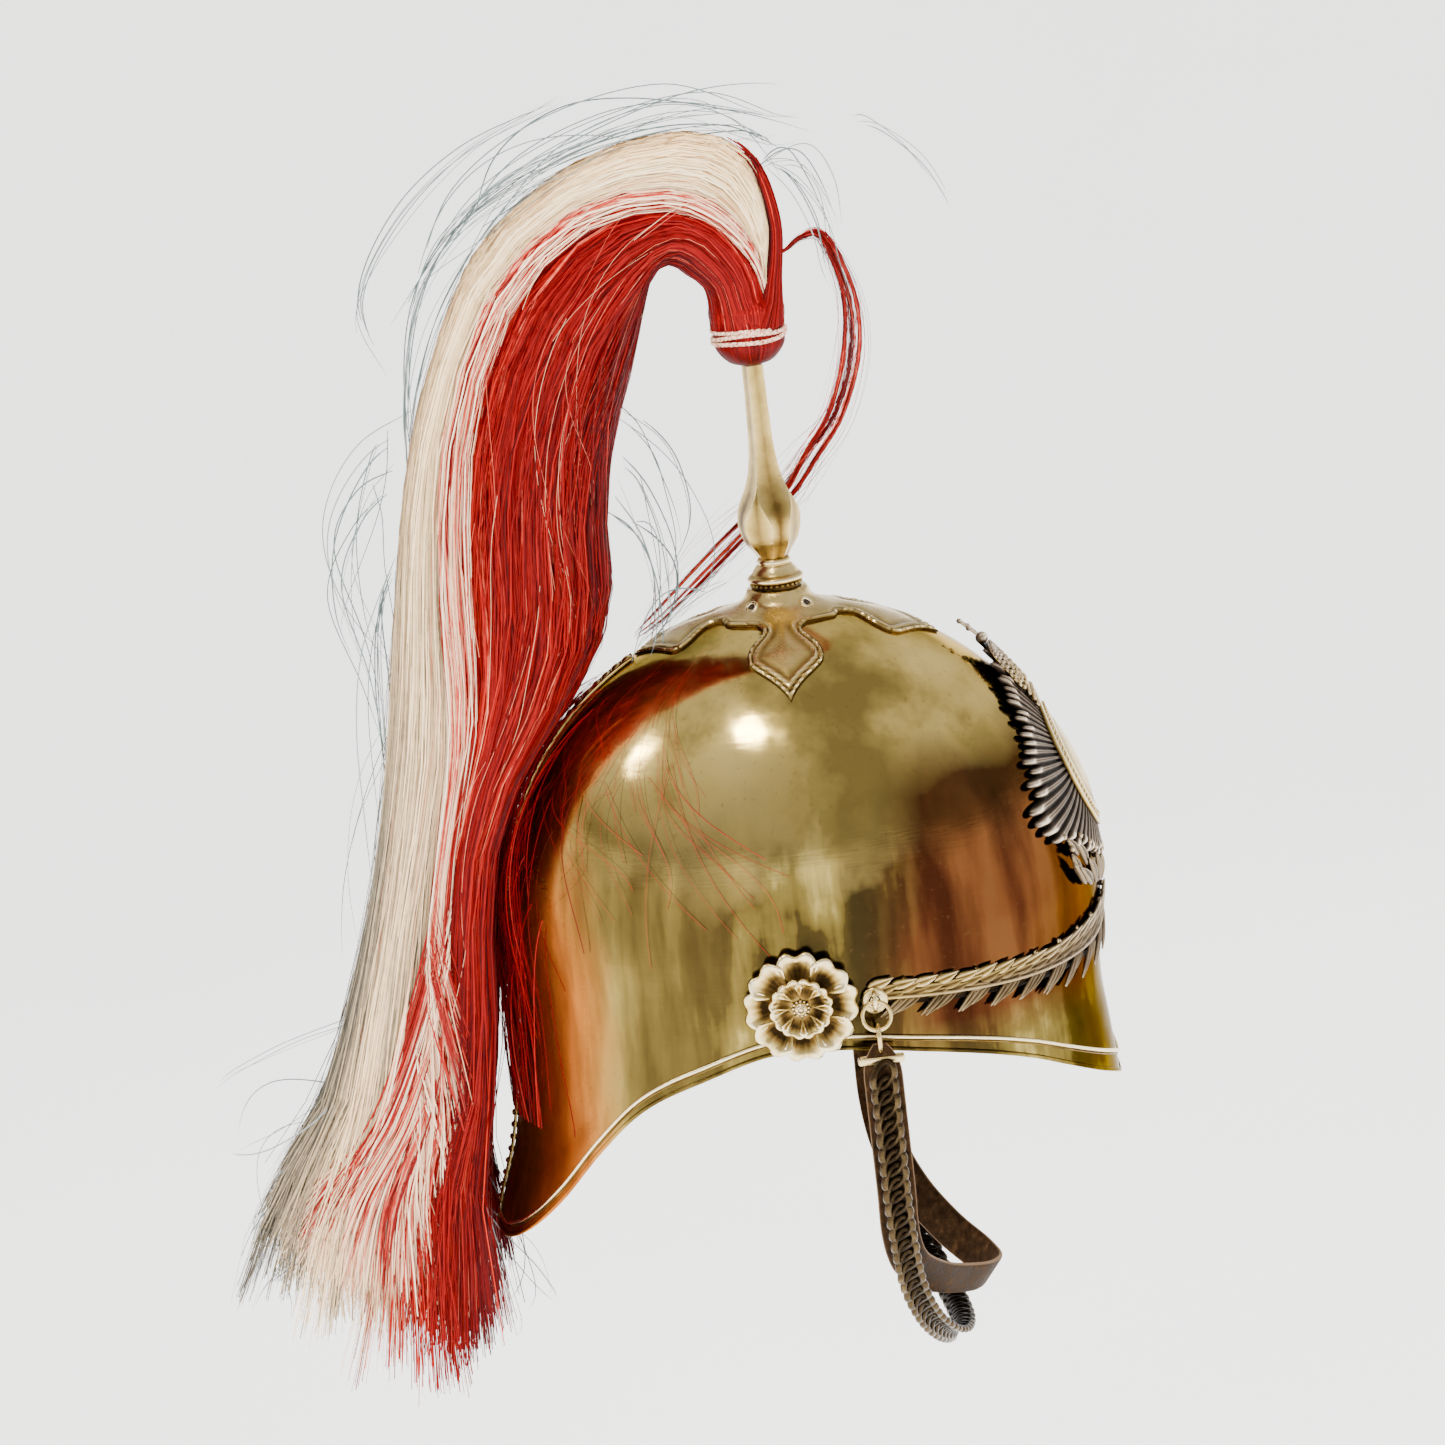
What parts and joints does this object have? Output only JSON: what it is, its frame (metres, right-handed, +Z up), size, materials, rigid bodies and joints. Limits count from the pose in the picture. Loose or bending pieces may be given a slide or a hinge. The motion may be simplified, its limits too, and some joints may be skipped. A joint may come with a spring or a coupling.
{
  "type": "parade helmet",
  "caption": "Brass parade helmet with spike, falling white and red hair plume, rayed front plate, rosettes and chin chain; worn on the head",
  "frame": {"origin": "centre of the head opening, level with the lower edge at the ears, below the spike", "axes": "+Z up along the spike, the front faces -Y, the wearer's right is -X"},
  "size_m": [0.2328, 0.3737, 0.5262],
  "materials": {
    "skull_brass": "polished brass, mirror bright with fine wear",
    "gilt_mounts": "gilt brass castings, satin in the hollows",
    "plate_bronze": "worn gilding with grey-bronze tips",
    "red_hair": "dyed red horsehair",
    "white_hair": "cream white horsehair",
    "binding_cord": "pale twisted cord",
    "strap_leather": "dark brown leather",
    "chain_metal": "dark bronzed brass links"
  },
  "bodies": {
    "root": {"skull": "skull_brass", "rim_beading": "skull_brass", "back_strip": "gilt_mounts", "crown_plate": "gilt_mounts", "spike_collar": "gilt_mounts", "spike": "gilt_mounts", "plume_head": "red_hair", "plume_binding": "binding_cord", "plume_red": "red_hair", "plume_white": "white_hair", "plume_stray_lock": "red_hair", "front_plate": "plate_bronze", "front_boss": "gilt_mounts", "front_crown": "plate_bronze", "chin_strap": "strap_leather", "chin_chain": "chain_metal", "leaf_spray_right": "plate_bronze", "rosette_right": "gilt_mounts", "rosette_knob_right": "gilt_mounts", "chain_hook_right": "gilt_mounts", "upper_ring_right": "gilt_mounts", "lower_ring_right": "gilt_mounts", "strap_keeper_right": "gilt_mounts", "leaf_spray_left": "plate_bronze", "rosette_left": "gilt_mounts", "rosette_knob_left": "gilt_mounts", "chain_hook_left": "gilt_mounts", "upper_ring_left": "gilt_mounts", "lower_ring_left": "gilt_mounts", "strap_keeper_left": "gilt_mounts"}
  },
  "joints": []
}
